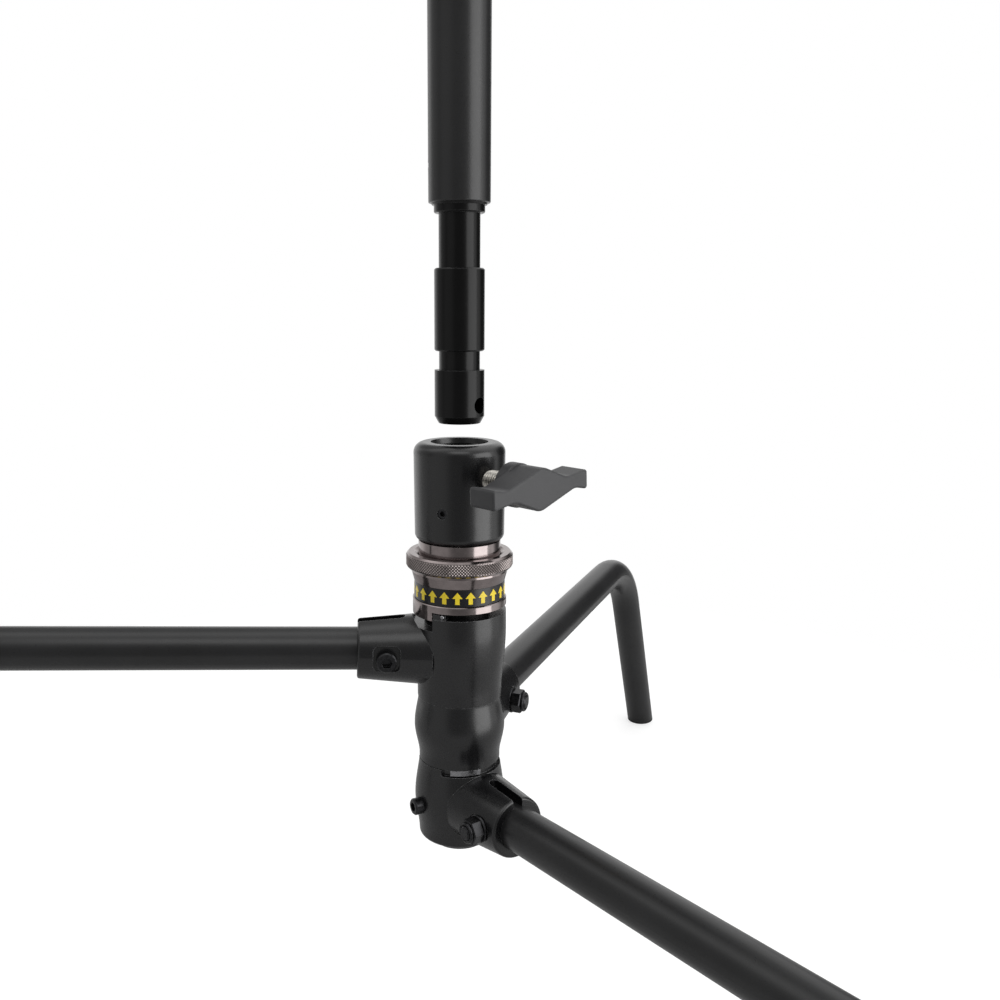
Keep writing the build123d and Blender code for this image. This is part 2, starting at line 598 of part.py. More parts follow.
# ---- column -----------------------------------------------------------------
def make_spigot():
    """Steel spigot under the column, with two bearing lands and a cross hole."""
    nose, land, tube_bottom = SPIGOT_NOSE, SPIGOT_LAND, COLUMN_TUBE_BOTTOM
    plug = COLUMN_RADIUS - COLUMN_WALL - SEAT
    with BuildPart() as spigot:
        with BuildSketch(profile_plane()):
            with BuildLine():
                Polyline(
                    (0, nose[0]), (SPIGOT_RADIUS - 2.2, nose[0]), (SPIGOT_RADIUS, nose[0] + 4.0),
                    (SPIGOT_RADIUS, nose[1]), (SPIGOT_NECK, nose[1]), (SPIGOT_NECK, land[0]),
                    (SPIGOT_RADIUS - 0.8, land[0]), (SPIGOT_RADIUS, land[0] + 0.8),
                    (SPIGOT_RADIUS, land[1] - 0.8), (SPIGOT_RADIUS - 0.8, land[1]), (SPIGOT_NECK, land[1]),
                    (SPIGOT_NECK, SPIGOT_SHOULDER), (SPIGOT_RADIUS - 0.6, SPIGOT_SHOULDER),
                    (SPIGOT_RADIUS, SPIGOT_SHOULDER + 0.6), (SPIGOT_RADIUS, tube_bottom - 1.0),
                    (COLUMN_RADIUS - 2.0, tube_bottom - 1.0), (plug, tube_bottom),
                    (plug, tube_bottom + SPIGOT_PLUG), (0, tube_bottom + SPIGOT_PLUG), close=True,
                )
            make_face()
        revolve(axis=Axis.Z)
        with BuildSketch(radial_plane(-40.0, 0, SPIGOT_HOLE_Z)):
            Circle(4.7)
        extrude(amount=20.0, both=True, mode=Mode.SUBTRACT)
        with BuildSketch(radial_plane(0, 0, tube_bottom + PIN_LIFT)):
            Circle(PIN_RADIUS + SEAT)
        extrude(amount=20.0, both=True, mode=Mode.SUBTRACT)
    save(spigot.part, "column_spigot", "column spigot")
    with BuildPart() as pin:
        with BuildSketch(radial_plane(0, 0, tube_bottom + PIN_LIFT)):
            Circle(PIN_RADIUS)
        extrude(amount=COLUMN_RADIUS - 0.2, both=True)
    save(pin.part, "spigot_pin", "spigot pin")


def make_tube(name, label, radius, wall, bottom, length, hole_height=None, hole_radius=0.0):
    """Straight round tube of the column, with an optional cross hole for its pin."""
    with BuildPart() as tube:
        with BuildSketch(Plane.XY.offset(bottom)):
            Circle(radius)
            Circle(radius - wall, mode=Mode.SUBTRACT)
        extrude(amount=length)
        fillet(tube.edges().filter_by(GeomType.CIRCLE).group_by(Axis.Z)[0].sort_by(SortBy.RADIUS)[-1], 0.8)
        if hole_height is not None:
            with BuildSketch(radial_plane(0, 0, hole_height)):
                Circle(hole_radius + SEAT)
            extrude(amount=2 * radius, both=True, mode=Mode.SUBTRACT)
    save(tube.part, name, label)


def make_clamp(prefix, label, outer_tube, inner_tube, seat_height, angle):
    """Cast clamp on top of a tube: it grips the next tube with a T-handle."""
    wall = outer_tube + CLAMP_WALL
    screw_height = seat_height + CLAMP_SCREW_LIFT
    low, high = seat_height - CLAMP_BELOW, seat_height + CLAMP_ABOVE
    bush_radius = inner_tube + 1.6
    with BuildPart() as clamp:
        with BuildSketch(profile_plane()):
            with BuildLine():
                Polyline(
                    (outer_tube + SEAT, low), (outer_tube + 3.6, low), (wall, low + 6.0), (wall, high),
                    (bush_radius, high), (bush_radius, high - BUSH_HEIGHT),
                    (inner_tube + CLEAR, high - BUSH_HEIGHT), (inner_tube + CLEAR, seat_height + SEAT),
                    (outer_tube + SEAT, seat_height + SEAT), close=True,
                )
            make_face()
        revolve(axis=Axis.Z)
        fillet(clamp.edges().filter_by(GeomType.CIRCLE).group_by(Axis.Z)[-1].sort_by(SortBy.RADIUS)[-1], 3.0)
        with BuildSketch(radial_plane(angle, inner_tube + 3.0, screw_height)):
            Circle(11.0)
        extrude(amount=wall + 4.0 - inner_tube - 3.0)
        boss = clamp.faces().sort_by(Axis((0, 0, screw_height), direction(angle)))[-1]
        fillet(boss.edges(), 1.5)
        with BuildSketch(radial_plane(angle, inner_tube, screw_height)):
            Circle(SCREW_RADIUS + RUN)
        extrude(amount=30.0, mode=Mode.SUBTRACT)
        for side in (90.0, 180.0):
            with BuildSketch(radial_plane(angle + side, outer_tube, seat_height - 14.0)):
                Circle(2.5 + SEAT)
            extrude(amount=12.0, mode=Mode.SUBTRACT)
    save(clamp.part, f"{prefix}_clamp", f"{label} clamp casting")
    with BuildPart() as bush:
        with BuildSketch(Plane.XY.offset(high - BUSH_HEIGHT + SEAT)):
            Circle(bush_radius - SEAT)
            Circle(inner_tube + RUN, mode=Mode.SUBTRACT)
        extrude(amount=BUSH_HEIGHT + 0.4)
    save(bush.part, f"{prefix}_clamp_bush", f"{label} clamp bush")
    make_grub_screws(f"{prefix}_clamp_grub_screws", f"{label} clamp grub screws", (angle + 90.0, angle + 180.0),
                     seat_height - 14.0, outer_tube, wall - 0.8, radius=2.5)
    make_t_handle(f"{prefix}_clamp", label, wall + 4.0, inner_tube + 0.06, screw_height, angle)


def make_guide_bush(name, label, tube_radius, tube_wall, outside, tube_bottom):
    """Nylon bush on the foot of a riser, running inside the tube around it."""
    plug = tube_radius - tube_wall - SEAT
    with BuildPart() as bush:
        with BuildSketch(profile_plane()):
            with BuildLine():
                Polyline(
                    (plug - 2.5, tube_bottom - 14.0), (outside - RUN, tube_bottom - 14.0),
                    (outside - RUN, tube_bottom - SEAT), (plug, tube_bottom - SEAT), (plug, tube_bottom + 14.0),
                    (plug - 2.5, tube_bottom + 14.0), close=True,
                )
            make_face()
        revolve(axis=Axis.Z)
    save(bush.part, name, label)


def make_top_stud():
    """Baby stud at the very top, 16 mm across, with its safety groove and the base that sits on the tube."""
    base, plug = UPPER_TUBE_TOP, UPPER_RADIUS - UPPER_WALL - SEAT
    with BuildPart() as stud:
        with BuildSketch(profile_plane()):
            with BuildLine():
                Polyline(
                    (0, base - STUD_PLUG), (plug, base - STUD_PLUG), (plug, base + SEAT),
                    (14.0, base + SEAT), (14.0, base + 6.0), (12.5, base + 7.5),
                    (STUD_RADIUS, base + 7.5), (STUD_RADIUS, base + 32.0),
                    (STUD_NECK, base + 34.5), (STUD_NECK, base + 42.5), (STUD_RADIUS, base + 45.0),
                    (STUD_RADIUS, base + 75.0), (STUD_RADIUS - 1.2, base + 76.2), (0, base + 76.2), close=True,
                )
            make_face()
        revolve(axis=Axis.Z)
        with BuildSketch(radial_plane(0, 0, base - STUD_PIN_DROP)):
            Circle(STUD_PIN_RADIUS + SEAT)
        extrude(amount=20.0, both=True, mode=Mode.SUBTRACT)
    save(stud.part, "top_stud", "top stud")
    with BuildPart() as pin:
        with BuildSketch(radial_plane(0, 0, base - STUD_PIN_DROP)):
            Circle(STUD_PIN_RADIUS)
        extrude(amount=UPPER_RADIUS - 0.2, both=True)
    save(pin.part, "top_stud_pin", "top stud pin")


# ---- build everything -------------------------------------------------------
for leg_name in LEG_ANGLE:
    make_leg_tube(leg_name)
    make_leg_foot(leg_name)
    make_leg_bolt(leg_name)
    make_leg_nut(leg_name)
    make_leg_washer(leg_name)
make_upper_hub()
make_middle_hub()
make_lower_hub()
make_hub_set_screw()
make_central_post()
make_thrust_washers()
make_receiver()
make_grub_screws("receiver_grub_screws", "receiver grub screws", GRUB_ANGLES, GRUB_HEIGHT,
                  POST_RADIUS, RECEIVER_RADIUS - 1.2)
make_guide_sleeve()
make_release_collar()
make_release_band()
make_lock_ring()
make_release_spring()
make_t_handle("receiver", "receiver", RECEIVER_RADIUS, POST_BORE + 1.9, RECEIVER_SCREW_Z, HANDLE_ANGLE)
make_spigot()
make_tube("column_tube", "column tube", COLUMN_RADIUS, COLUMN_WALL, COLUMN_TUBE_BOTTOM, COLUMN_LENGTH,
          COLUMN_TUBE_BOTTOM + PIN_LIFT, PIN_RADIUS)
make_clamp("lower", "lower", COLUMN_RADIUS, MIDDLE_RADIUS, COLUMN_TUBE_TOP, HANDLE_ANGLE)
make_tube("middle_riser_tube", "middle riser tube", MIDDLE_RADIUS, MIDDLE_WALL,
          MIDDLE_TUBE_TOP - MIDDLE_LENGTH, MIDDLE_LENGTH)
make_guide_bush("middle_riser_guide", "middle riser guide bush", MIDDLE_RADIUS, MIDDLE_WALL,
                COLUMN_RADIUS - COLUMN_WALL, MIDDLE_TUBE_TOP - MIDDLE_LENGTH)
make_clamp("upper", "upper", MIDDLE_RADIUS, UPPER_RADIUS, MIDDLE_TUBE_TOP, HANDLE_ANGLE)
make_tube("upper_riser_tube", "upper riser tube", UPPER_RADIUS, UPPER_WALL, UPPER_TUBE_TOP - UPPER_LENGTH,
          UPPER_LENGTH, UPPER_TUBE_TOP - STUD_PIN_DROP, STUD_PIN_RADIUS)
make_guide_bush("upper_riser_guide", "upper riser guide bush", UPPER_RADIUS, UPPER_WALL,
                MIDDLE_RADIUS - MIDDLE_WALL, UPPER_TUBE_TOP - UPPER_LENGTH)
make_top_stud()
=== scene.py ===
import json
import math

import bpy
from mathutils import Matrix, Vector


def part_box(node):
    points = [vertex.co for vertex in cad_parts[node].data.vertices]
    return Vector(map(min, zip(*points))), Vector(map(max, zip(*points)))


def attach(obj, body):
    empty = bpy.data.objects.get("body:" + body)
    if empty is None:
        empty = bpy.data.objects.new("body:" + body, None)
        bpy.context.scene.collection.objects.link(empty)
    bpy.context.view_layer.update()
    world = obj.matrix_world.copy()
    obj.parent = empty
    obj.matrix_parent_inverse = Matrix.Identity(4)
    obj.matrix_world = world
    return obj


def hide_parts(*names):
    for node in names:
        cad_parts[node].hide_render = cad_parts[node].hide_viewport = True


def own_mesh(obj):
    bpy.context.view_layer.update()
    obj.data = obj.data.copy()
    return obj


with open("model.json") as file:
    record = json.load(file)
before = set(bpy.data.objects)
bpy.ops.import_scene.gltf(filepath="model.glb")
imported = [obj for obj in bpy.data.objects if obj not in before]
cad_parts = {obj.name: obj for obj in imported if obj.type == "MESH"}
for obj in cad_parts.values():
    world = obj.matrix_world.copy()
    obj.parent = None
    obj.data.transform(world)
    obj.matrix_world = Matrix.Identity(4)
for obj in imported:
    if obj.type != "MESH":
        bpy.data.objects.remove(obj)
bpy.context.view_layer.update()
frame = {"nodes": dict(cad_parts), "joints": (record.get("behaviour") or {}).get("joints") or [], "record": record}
nodes = frame["nodes"]
joints = {joint["name"]: joint for joint in frame["joints"]}

MM = 0.001
UP = Vector((0, 0, 1))

# ---- camera -----------------------------------------------------------------
CAMERA_DISTANCE = 0.5718            # level distance from the hub axis
CAMERA_HEIGHT = 0.4264
CAMERA_TURN = math.radians(5.63)    # from +Y towards +X
CAMERA_PITCH = math.radians(10.9)
CAMERA_ANGLE = -95.63               # where the camera stands about the hub axis, degrees
CAMERA_LENS = 36.0                  # focal length and sensor width
CAMERA_SHIFT = 0.0405


def make_camera():
    data = bpy.data.cameras.new("camera")
    data.lens = data.sensor_width = CAMERA_LENS
    data.shift_x = CAMERA_SHIFT
    data.clip_start = 0.01
    camera = bpy.data.objects.new("camera", data)
    bpy.context.scene.collection.objects.link(camera)
    ahead = Vector((math.sin(CAMERA_TURN), math.cos(CAMERA_TURN), 0))
    camera.location = UP * CAMERA_HEIGHT - ahead * CAMERA_DISTANCE
    sight = ahead * math.cos(CAMERA_PITCH) - UP * math.sin(CAMERA_PITCH)
    camera.rotation_euler = sight.to_track_quat("-Z", "Y").to_euler()
    bpy.context.scene.camera = camera


# ---- light and stage --------------------------------------------------------
LIT_HEIGHT = 0.30                   # level that the lamps point at

# Brightness of the room by how far a direction turns towards the camera: 0 is away from it, 1 straight to it.
ROOM_LEVELS = ((0.0, 1.0), (0.50, 1.0), (0.62, 0.55), (0.90, 0.50), (0.96, 0.24), (1.0, 0.22))

# Lighter and darker parts of the room: turn from the camera, elevation and half width in degrees, and factor.
CEILING = (0.0, 90.0, 58.0, 1.5)
LEFT_WALL = (-98.0, 8.0, 34.0, 0.45)
RIGHT_FLAG = (131.0, 5.0, 32.0, 0.05)
BACK_CORNER = (-150.0, 45.0, 32.0, 0.35)

FLOOR_RADIUS, FLOOR_SIDES = 0.74, 96
FLOOR_BEHIND = 0.14                 # how far the floor's middle lies behind the hub axis
FLOOR_GREY = (0.48, 0.48, 0.48, 1)
FLOOR_GLOW = 0.62                   # added for the camera only, so that the floor meets the backdrop

WHITE = (1, 1, 1, 1)


def around(angle, distance, height):
    """Point about the hub axis. Its angle counts from the camera's, positive to the camera's right."""
    turn = math.radians(CAMERA_ANGLE + angle)
    return Vector((distance * math.cos(turn), distance * math.sin(turn), height))


def make_softbox(name, angle, distance, height, width, tall, radiance):
    """Rectangular lamp that faces the hub. Its radiance is counted against the backdrop's, which is 1."""
    data = bpy.data.lights.new(name, "AREA")
    data.shape = "RECTANGLE"
    data.size, data.size_y = width, tall
    data.energy = radiance * math.pi * width * tall
    light = bpy.data.objects.new(name, data)
    bpy.context.scene.collection.objects.link(light)
    light.location = around(angle, distance, height)
    light.rotation_euler = (UP * LIT_HEIGHT - light.location).to_track_quat("-Z", "Y").to_euler()
    light.visible_camera = False


def new_node(tree, kind, sockets, **settings):
    """Adds a shader node and sets or links its inputs."""
    node = tree.nodes.new(kind)
    for name, value in settings.items():
        setattr(node, name, value)
    for key, value in sockets.items():
        if isinstance(value, bpy.types.NodeSocket):
            tree.links.new(value, node.inputs[key])
        else:
            node.inputs[key].default_value = value
    return node


def room_level(tree, direction):
    """White room with a dark gap where the camera stands."""
    sockets = {0: direction, 1: around(0, 0.5, 0)}
    towards = new_node(tree, "ShaderNodeVectorMath", sockets, operation="DOT_PRODUCT")
    centred = new_node(tree, "ShaderNodeMath", {0: towards.outputs["Value"], 1: 0.5})
    walls = new_node(tree, "ShaderNodeValToRGB", {"Fac": centred.outputs[0]})
    stops = walls.color_ramp.elements
    stops[0].position, stops[1].position = 0.0, 1.0
    for position, level in ROOM_LEVELS:
        if position in (0.0, 1.0):
            stop = stops[-1 if position else 0]
        else:
            stop = stops.new(position)
        stop.color = (level, level, level, 1)
    return walls.outputs["Color"]


def room_patch(tree, direction, turn, rise, width, factor):
    """Factor over one part of the room, and 1 everywhere else."""
    lift = math.radians(rise)
    middle = around(turn, math.cos(lift), math.sin(lift))
    facing = new_node(tree, "ShaderNodeVectorMath", {0: direction, 1: middle}, operation="DOT_PRODUCT")
    sockets = {"Value": facing.outputs["Value"], "To Min": 1.0, "To Max": factor,
               "From Min": math.cos(math.radians(width)), "From Max": math.cos(math.radians(width / 2))}
    return new_node(tree, "ShaderNodeMapRange", sockets, interpolation_type="SMOOTHSTEP").outputs["Result"]


def make_world():
    """Room that the stand reflects. The camera itself sees an even white backdrop."""
    world = bpy.data.worlds.new("studio")
    bpy.context.scene.world = world
    world.use_nodes = True
    tree = world.node_tree
    tree.nodes.clear()
    direction = new_node(tree, "ShaderNodeTexCoord", {}).outputs["Generated"]
    factor = 1.0
    for patch in (CEILING, LEFT_WALL, RIGHT_FLAG, BACK_CORNER):
        sockets = {0: room_patch(tree, direction, *patch), 1: factor}
        factor = new_node(tree, "ShaderNodeMath", sockets, operation="MULTIPLY").outputs[0]
    room = new_node(tree, "ShaderNodeBackground", {"Color": room_level(tree, direction), "Strength": factor})
    backdrop = new_node(tree, "ShaderNodeBackground", {"Color": WHITE})
    seen = new_node(tree, "ShaderNodeLightPath", {}).outputs["Is Camera Ray"]
    choose = new_node(tree, "ShaderNodeMixShader", {0: seen, 1: room.outputs[0], 2: backdrop.outputs[0]})
    new_node(tree, "ShaderNodeOutputWorld", {"Surface": choose.outputs["Shader"]})


def make_floor():
    """Round pale floor. The stand's reflections and shade see it dimmer than the camera does."""
    middle = around(180, FLOOR_BEHIND, 0)
    turns = [i * math.tau / FLOOR_SIDES for i in range(FLOOR_SIDES)]
    rim = [middle + Vector((math.cos(turn), math.sin(turn), 0)) * FLOOR_RADIUS for turn in turns]
    mesh = bpy.data.meshes.new("floor")
    mesh.from_pydata(rim, [], [tuple(range(FLOOR_SIDES))])
    floor = bpy.data.objects.new("floor", mesh)
    bpy.context.scene.collection.objects.link(floor)
    paint = bpy.data.materials.new("floor_white")
    paint.use_nodes = True
    tree = paint.node_tree
    shader = tree.nodes["Principled BSDF"]
    for socket, value in (("Base Color", FLOOR_GREY), ("Roughness", 0.8), ("Specular IOR Level", 0.1),
                          ("Emission Color", WHITE)):
        shader.inputs[socket].default_value = value
    seen = new_node(tree, "ShaderNodeLightPath", {}).outputs["Is Camera Ray"]
    lift = new_node(tree, "ShaderNodeMath", {0: seen, 1: FLOOR_GLOW}, operation="MULTIPLY")
    tree.links.new(lift.outputs[0], shader.inputs["Emission Strength"])
    mesh.materials.append(paint)


# ---- materials --------------------------------------------------------------
class Look:
    """A procedural material in the row's own coordinates."""

    def __init__(self, name, roughness, metallic=0.0, specular=0.5):
        self.material = bpy.data.materials.new(name)
        self.material.use_nodes = True
        self.tree = self.material.node_tree
        self.shader = self.tree.nodes["Principled BSDF"]
        self.shader.inputs["Roughness"].default_value = roughness
        self.shader.inputs["Metallic"].default_value = metallic
        self.shader.inputs["Specular IOR Level"].default_value = specular
        self.place = self.tree.nodes.new("ShaderNodeTexCoord").outputs["Object"]

    def add(self, kind, sockets, **settings):
        return new_node(self.tree, kind, sockets, **settings)

    def noise(self, size, detail=2.0, stretch=(1, 1, 1)):
        """Noise from 0 to 1 with features of that size in millimetres."""
        place = self.add("ShaderNodeMapping", {"Vector": self.place, "Scale": stretch}).outputs[0]
        sockets = {"Vector": place, "Scale": 1 / (size * MM), "Detail": detail}
        return self.add("ShaderNodeTexNoise", sockets).outputs[0]

    def remap(self, value, low, high, to_low, to_high):
        sockets = {"Value": value, "From Min": low, "From Max": high, "To Min": to_low, "To Max": to_high}
        return self.add("ShaderNodeMapRange", sockets).outputs["Result"]

    def blend(self, factor, first, second):
        sockets = {"Factor": factor, 6: first, 7: second}      # 6 and 7 are the colour inputs
        return self.add("ShaderNodeMix", sockets, data_type="RGBA").outputs[2]

    def math(self, operation, first, second):
        return self.add("ShaderNodeMath", {0: first, 1: second}, operation=operation).outputs[0]

    def bump(self, height, depth, normal=None):
        """Relief of that depth in millimetres."""
        sockets = {"Height": height, "Strength": 1.0, "Distance": depth * MM}
        if normal is not None:
            sockets["Normal"] = normal
        return self.add("ShaderNodeBump", sockets).outputs[0]

    def edges(self, radius):
        """Normal with every edge rounded by that radius in millimetres, and how near an edge a point is."""
        rounded = self.add("ShaderNodeBevel", {"Radius": radius * MM}, samples=4).outputs[0]
        flat = self.add("ShaderNodeNewGeometry", {}).outputs["Normal"]
        alike = self.add("ShaderNodeVectorMath", {0: rounded, 1: flat}, operation="DOT_PRODUCT")
        return rounded, self.remap(alike.outputs["Value"], 0.995, 0.80, 0.0, 1.0)

    def finish(self, colour, roughness, normal):
        for socket, value in (("Base Color", colour), ("Roughness", roughness), ("Normal", normal)):
            self.tree.links.new(value, self.shader.inputs[socket])
        return self.material


def shade(colour, factor):
    return tuple(channel * factor for channel in colour) + (1.0,)


def powder_coat(name, colour, roughness, specular, grain, grain_depth, edge_radius, edge_wear_and_highlight, wave_depth):
    """Sprayed and baked coating: fine grain, slow waves, and paler edges that are partly bare-metal wear and
    partly a painted highlight.
    """
    look = Look(name, roughness, specular=specular)
    rounded, edge = look.edges(edge_radius)
    cloud = look.noise(35.0, 3.0)
    fine = look.noise(grain, 2.0)
    scuff = look.noise(2.2, 4.0)
    body = look.blend(look.remap(cloud, 0.35, 0.65, 0.0, 1.0), shade(colour, 0.85), shade(colour, 1.15))
    # Paler edges: bare-metal wear broken up by scuff noise, and also a painted highlight standing in for edge
    # glints.
    worn_and_highlit = look.math("MULTIPLY", edge, look.remap(scuff, 0.38, 0.60, 0.25, 1.0))
    body = look.blend(look.math("MULTIPLY", worn_and_highlit, edge_wear_and_highlight), body, BARE_EDGE_AND_HIGHLIGHT)
    rough = look.math("ADD", look.remap(fine, 0.3, 0.7, roughness - 0.02, roughness + 0.02),
                      look.remap(scuff, 0.3, 0.7, -0.02, 0.02))
    waves = look.bump(look.noise(9.0, 1.0), wave_depth, rounded)
    return look.finish(body, rough, look.bump(fine, grain_depth, waves))


def turned_metal(name, colour, roughness, groove, groove_depth, edge_radius):
    """Metal turned in a lathe about the hub axis and plated: fine rings, faint clouding, and a painted highlight
    that brightens every edge.
    """
    look = Look(name, roughness, metallic=1.0)
    rounded, edge = look.edges(edge_radius)
    rings = look.noise(groove, 3.0, (0.02, 0.02, 1.0))
    cloud = look.noise(6.0, 4.0)
    body = look.blend(look.remap(cloud, 0.38, 0.62, 0.0, 1.0), shade(colour, 0.85), shade(colour, 1.0))
    # Painted highlight: edges brightened in the base colour.
    body = look.blend(look.math("MULTIPLY", edge, 0.6), body, shade(colour, 1.35))
    rough = look.math("ADD", look.remap(rings, 0.3, 0.7, roughness - 0.03, roughness + 0.05),
                      look.remap(cloud, 0.3, 0.7, -0.02, 0.04))
    return look.finish(body, rough, look.bump(rings, groove_depth, rounded))


def plain_metal(name, colour, roughness, metallic, edge_radius, speck):
    """Small hardware: a mottled dark or bright finish, brightened along its edges, partly by wear and partly as a
    painted highlight.
    """
    look = Look(name, roughness, metallic=metallic)
    rounded, edge = look.edges(edge_radius)
    mottle = look.noise(1.6, 4.0)
    body = look.blend(look.remap(mottle, 0.35, 0.65, 0.0, 1.0), shade(colour, 0.75), shade(colour, 1.2))
    # Edges brightened in the base colour: wear on the dark oxide, a painted highlight on the bright metals.
    body = look.blend(look.math("MULTIPLY", edge, speck), body, shade(colour, 2.4))
    rough = look.remap(mottle, 0.3, 0.7, roughness - 0.07, roughness + 0.09)
    return look.finish(body, rough, look.bump(look.noise(0.35, 2.0), 0.006, rounded))


def moulded(name, colour, roughness, grain, grain_depth, edge_radius, edge_tone):
    """Moulded nylon or rubber: fine even texture, and paler edges that are partly rubbed and partly a painted
    highlight.
    """
    look = Look(name, roughness, specular=0.45)
    rounded, edge = look.edges(edge_radius)
    fine = look.noise(grain, 3.0)
    cloud = look.noise(18.0, 3.0)
    body = look.blend(look.remap(cloud, 0.35, 0.65, 0.0, 1.0), shade(colour, 0.93), shade(colour, 1.07))
    # Paler edges: partly rubbing, partly a painted highlight that shows the rounded edges.
    body = look.blend(look.math("MULTIPLY", edge, 0.7), body, shade(colour, edge_tone))
    rough = look.remap(fine, 0.3, 0.7, roughness - 0.06, roughness + 0.06)
    return look.finish(body, rough, look.bump(fine, grain_depth, rounded))


def knurled_metal(name, colour, roughness, root_radius):
    """Rolled diamonds: a painted highlight on their crests and painted shade in the grooves between them."""
    look = Look(name, roughness, metallic=1.0)
    across = look.add("ShaderNodeVectorMath", {0: look.place, 1: (1, 1, 0)}, operation="MULTIPLY").outputs[0]
    reach = look.add("ShaderNodeVectorMath", {0: across}, operation="LENGTH").outputs["Value"]
    height = look.remap(reach, root_radius, root_radius + KNURL_HEIGHT * MM, 0.0, 1.0)
    cloud = look.noise(4.0, 3.0)
    # Painted shade and highlight: the colour runs from dark in the grooves to bright on the crests.
    body = look.blend(look.remap(height, 0.05, 0.75, 0.0, 1.0), shade(colour, 0.12), shade(colour, 1.5))
    body = look.blend(look.remap(cloud, 0.35, 0.65, 0.0, 0.3), body, shade(colour, 0.7))
    rough = look.remap(height, 0.0, 1.0, roughness + 0.22, roughness)
    return look.finish(body, rough, look.bump(look.noise(0.3, 2.0), 0.002))


# Pale grey for the edges of the coats: bare metal, and also a painted highlight.
BARE_EDGE_AND_HIGHLIGHT = (0.30, 0.30, 0.31, 1.0)
KNURL_HEIGHT = 0.5                  # millimetres


def make_looks():
    """One look to each slot of the record, and three for the new pieces. Sizes are in millimetres."""
    coats = (
        ("cast_black", dict(colour=(0.004, 0.004, 0.0045), roughness=0.26, specular=0.60, grain=0.40,
                            grain_depth=0.0006, edge_radius=0.40, edge_wear_and_highlight=0.8, wave_depth=0.07)),
        ("tube_black", dict(colour=(0.012, 0.012, 0.0125), roughness=0.30, specular=0.48, grain=0.35,
                            grain_depth=0.002, edge_radius=0.4, edge_wear_and_highlight=0.5, wave_depth=0.01)),
        ("spigot_black", dict(colour=(0.002, 0.002, 0.002), roughness=0.24, specular=0.24, grain=0.30,
                              grain_depth=0.002, edge_radius=0.3, edge_wear_and_highlight=0.3, wave_depth=0.004)),
    )
    turned = (
        ("dark_nickel", dict(colour=(0.29, 0.25, 0.245), roughness=0.12, groove=0.25, groove_depth=0.0025,
                             edge_radius=0.22)),
        ("stud_steel", dict(colour=(0.55, 0.54, 0.53), roughness=0.26, groove=0.3, groove_depth=0.003,
                            edge_radius=0.3)),
    )
    plain = (
        ("black_oxide", dict(colour=(0.035, 0.035, 0.037), roughness=0.28, metallic=0.9,
                             edge_radius=0.25, speck=0.9)),
        ("spring_steel", dict(colour=(0.30, 0.30, 0.31), roughness=0.26, metallic=1.0,
                              edge_radius=0.1, speck=0.5)),
        ("zinc_screw", dict(colour=(0.50, 0.48, 0.44), roughness=0.20, metallic=1.0,
                            edge_radius=0.03, speck=0.3)),
        ("brass", dict(colour=(0.66, 0.48, 0.20), roughness=0.32, metallic=1.0,
                       edge_radius=0.2, speck=0.3)),
    )
    soft = (
        ("foot_rubber", dict(colour=(0.018, 0.018, 0.018), roughness=0.75, grain=0.6, grain_depth=0.03,
                             edge_radius=0.5, edge_tone=1.25)),
        ("band_print", dict(colour=(0.006, 0.006, 0.008), roughness=0.28, grain=0.5, grain_depth=0.002,
                            edge_radius=0.15, edge_tone=1.25)),
        ("mark_yellow", dict(colour=(0.86, 0.66, 0.03), roughness=0.35, grain=0.4, grain_depth=0.004,
                             edge_radius=0.05, edge_tone=1.1)),
        ("handle_grey", dict(colour=(0.036, 0.036, 0.038), roughness=0.46, grain=0.4, grain_depth=0.010,
                             edge_radius=1.0, edge_tone=2.2)),
        ("black_nylon", dict(colour=(0.022, 0.022, 0.022), roughness=0.5, grain=0.5, grain_depth=0.01,
                             edge_radius=0.4, edge_tone=1.25)),
    )
    low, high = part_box("release_collar")
    rim = (high.x - low.x) / 2
    looks = {"knurled_nickel": knurled_metal("knurled_nickel", (0.33, 0.29, 0.28), 0.16, rim)}
    for make, group in ((powder_coat, coats), (turned_metal, turned), (plain_metal, plain), (moulded, soft)):
        looks.update((name, make(name, **settings)) for name, settings in group)
    return looks


def dress_frame(looks):
    """Gives every CAD node the look of its material slot."""
    for part in frame["record"]["subparts"]:
        data = nodes[part["node"]].data
        look = looks[part["material_slot"]]
        if not data.materials:
            data.materials.append(look)
        for i in range(len(data.materials)):
            data.materials[i] = look


# ---- detail pieces, sizes in millimetres ------------------------------------
KNURL_TOP, KNURL_BOTTOM = 1.2, 8.2      # below the top of the release collar
KNURL_COLUMNS, KNURL_ROWS = 224, 8
ARROWS = 22
ARROW_OUTLINE = ((-1.25, -3.5), (1.25, -3.5), (1.25, 0.0), (3.0, 0.0), (0.0, 3.6), (-3.0, 0.0), (-1.25, 0.0))
ARROW_FACES = ((0, 1, 2, 6), (6, 2, 4), (2, 3, 4), (5, 6, 4))
SPRING_SEAT = 281.0                     # level of the release spring's fixed upper end
SPRING_WIRE = 1.1                       # radius
CLAMP_THREAD = (6.0, 1.75)              # radius and pitch
BOLT_THREAD = (4.08, 1.25)
NUT_CROWN = ((4.3, 0.0), (6.1, 0.0), (6.15, 0.9), (5.9, 1.5),
             (5.4, 1.85), (4.9, 1.85), (4.75, 1.5), (4.3, 1.45))     # radius and height


def add_piece(name, body, look, vertices, faces, smooth=False):
    """A new piece in the row frame that rides on a body."""
    mesh = bpy.data.meshes.new(name)
    mesh.from_pydata(vertices, [], faces)
    mesh.validate()
    if smooth:
        mesh.shade_smooth()
    mesh.materials.append(look)
    piece = bpy.data.objects.new(name, mesh)
    bpy.context.scene.collection.objects.link(piece)
    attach(piece, body)
    return piece


def node_middle(node):
    low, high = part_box(node)
    return (low + high) / 2


def grid_faces(rows, columns):
    """Quads between rows of points that close on themselves."""
    faces = []
    for row in range(rows - 1):
        here, above = row * columns, (row + 1) * columns
        for i in range(columns):
            after = (i + 1) % columns
            faces.append((here + i, here + after, above + after, above + i))
    return faces


